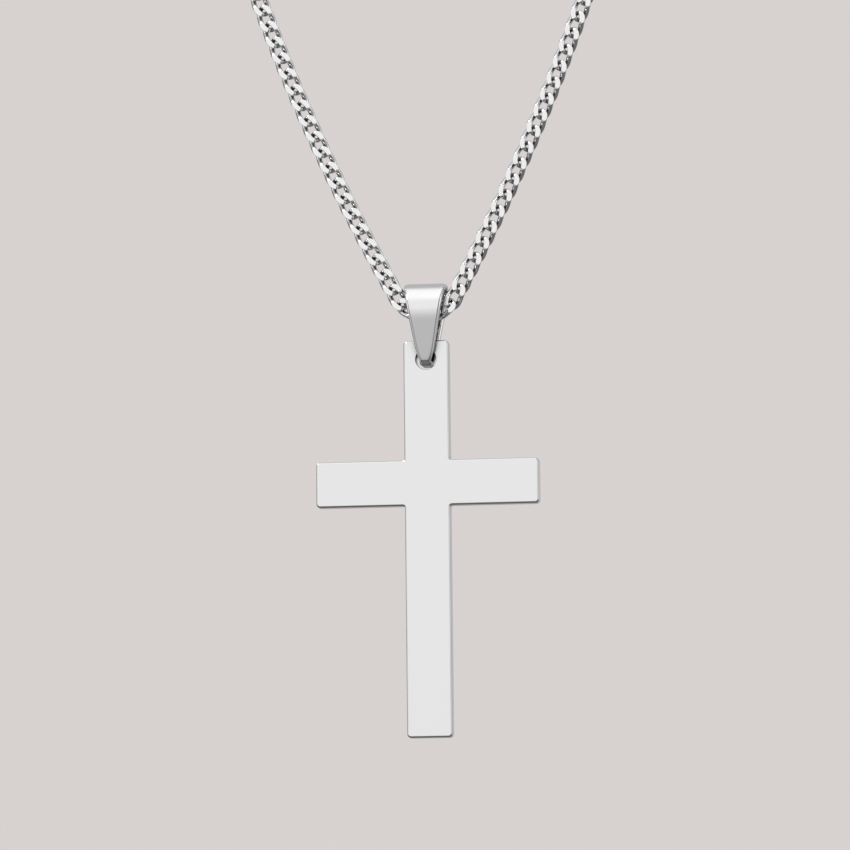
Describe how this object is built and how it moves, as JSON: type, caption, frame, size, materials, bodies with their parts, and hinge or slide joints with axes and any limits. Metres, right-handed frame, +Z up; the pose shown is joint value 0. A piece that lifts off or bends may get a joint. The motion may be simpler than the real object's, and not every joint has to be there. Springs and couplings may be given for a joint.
{
  "type": "cross pendant necklace",
  "caption": "Flat plain cross pendant that hangs by a folded strap bail from a closed curb chain necklace with a barrel clasp.",
  "frame": {"origin": "inside of the closed chain at its highest point, where it rests on the back of a neck", "axes": "+Z up, +X to the wearer's left as a viewer in front sees it on the right, and the cross faces -Y"},
  "size_m": [0.1182, 0.006, 0.2635],
  "materials": {
    "cross_steel": "fine satin steel with softly polished edges",
    "bail_steel": "polished steel strap",
    "chain_steel": "polished steel with bright filed flats",
    "clasp_steel": "polished steel barrel"
  },
  "bodies": {
    "necklace": {"chain_left": "chain_steel", "chain_right": "chain_steel", "clasp": "clasp_steel"},
    "bail": {"bail": "bail_steel"},
    "cross": {"cross": "cross_steel"}
  },
  "joints": [
    {"name": "bail_swing", "type": "hinge", "parent": "necklace", "child": "bail", "pos_m": [0, 0, -0.2088], "axis": [1, 0, 0], "range_deg": [-90, 90]},
    {"name": "cross_swing", "type": "hinge", "parent": "bail", "child": "cross", "pos_m": [0, 0, -0.2155], "axis": [0, 1, 0], "range_deg": [-90, 90]}
  ]
}
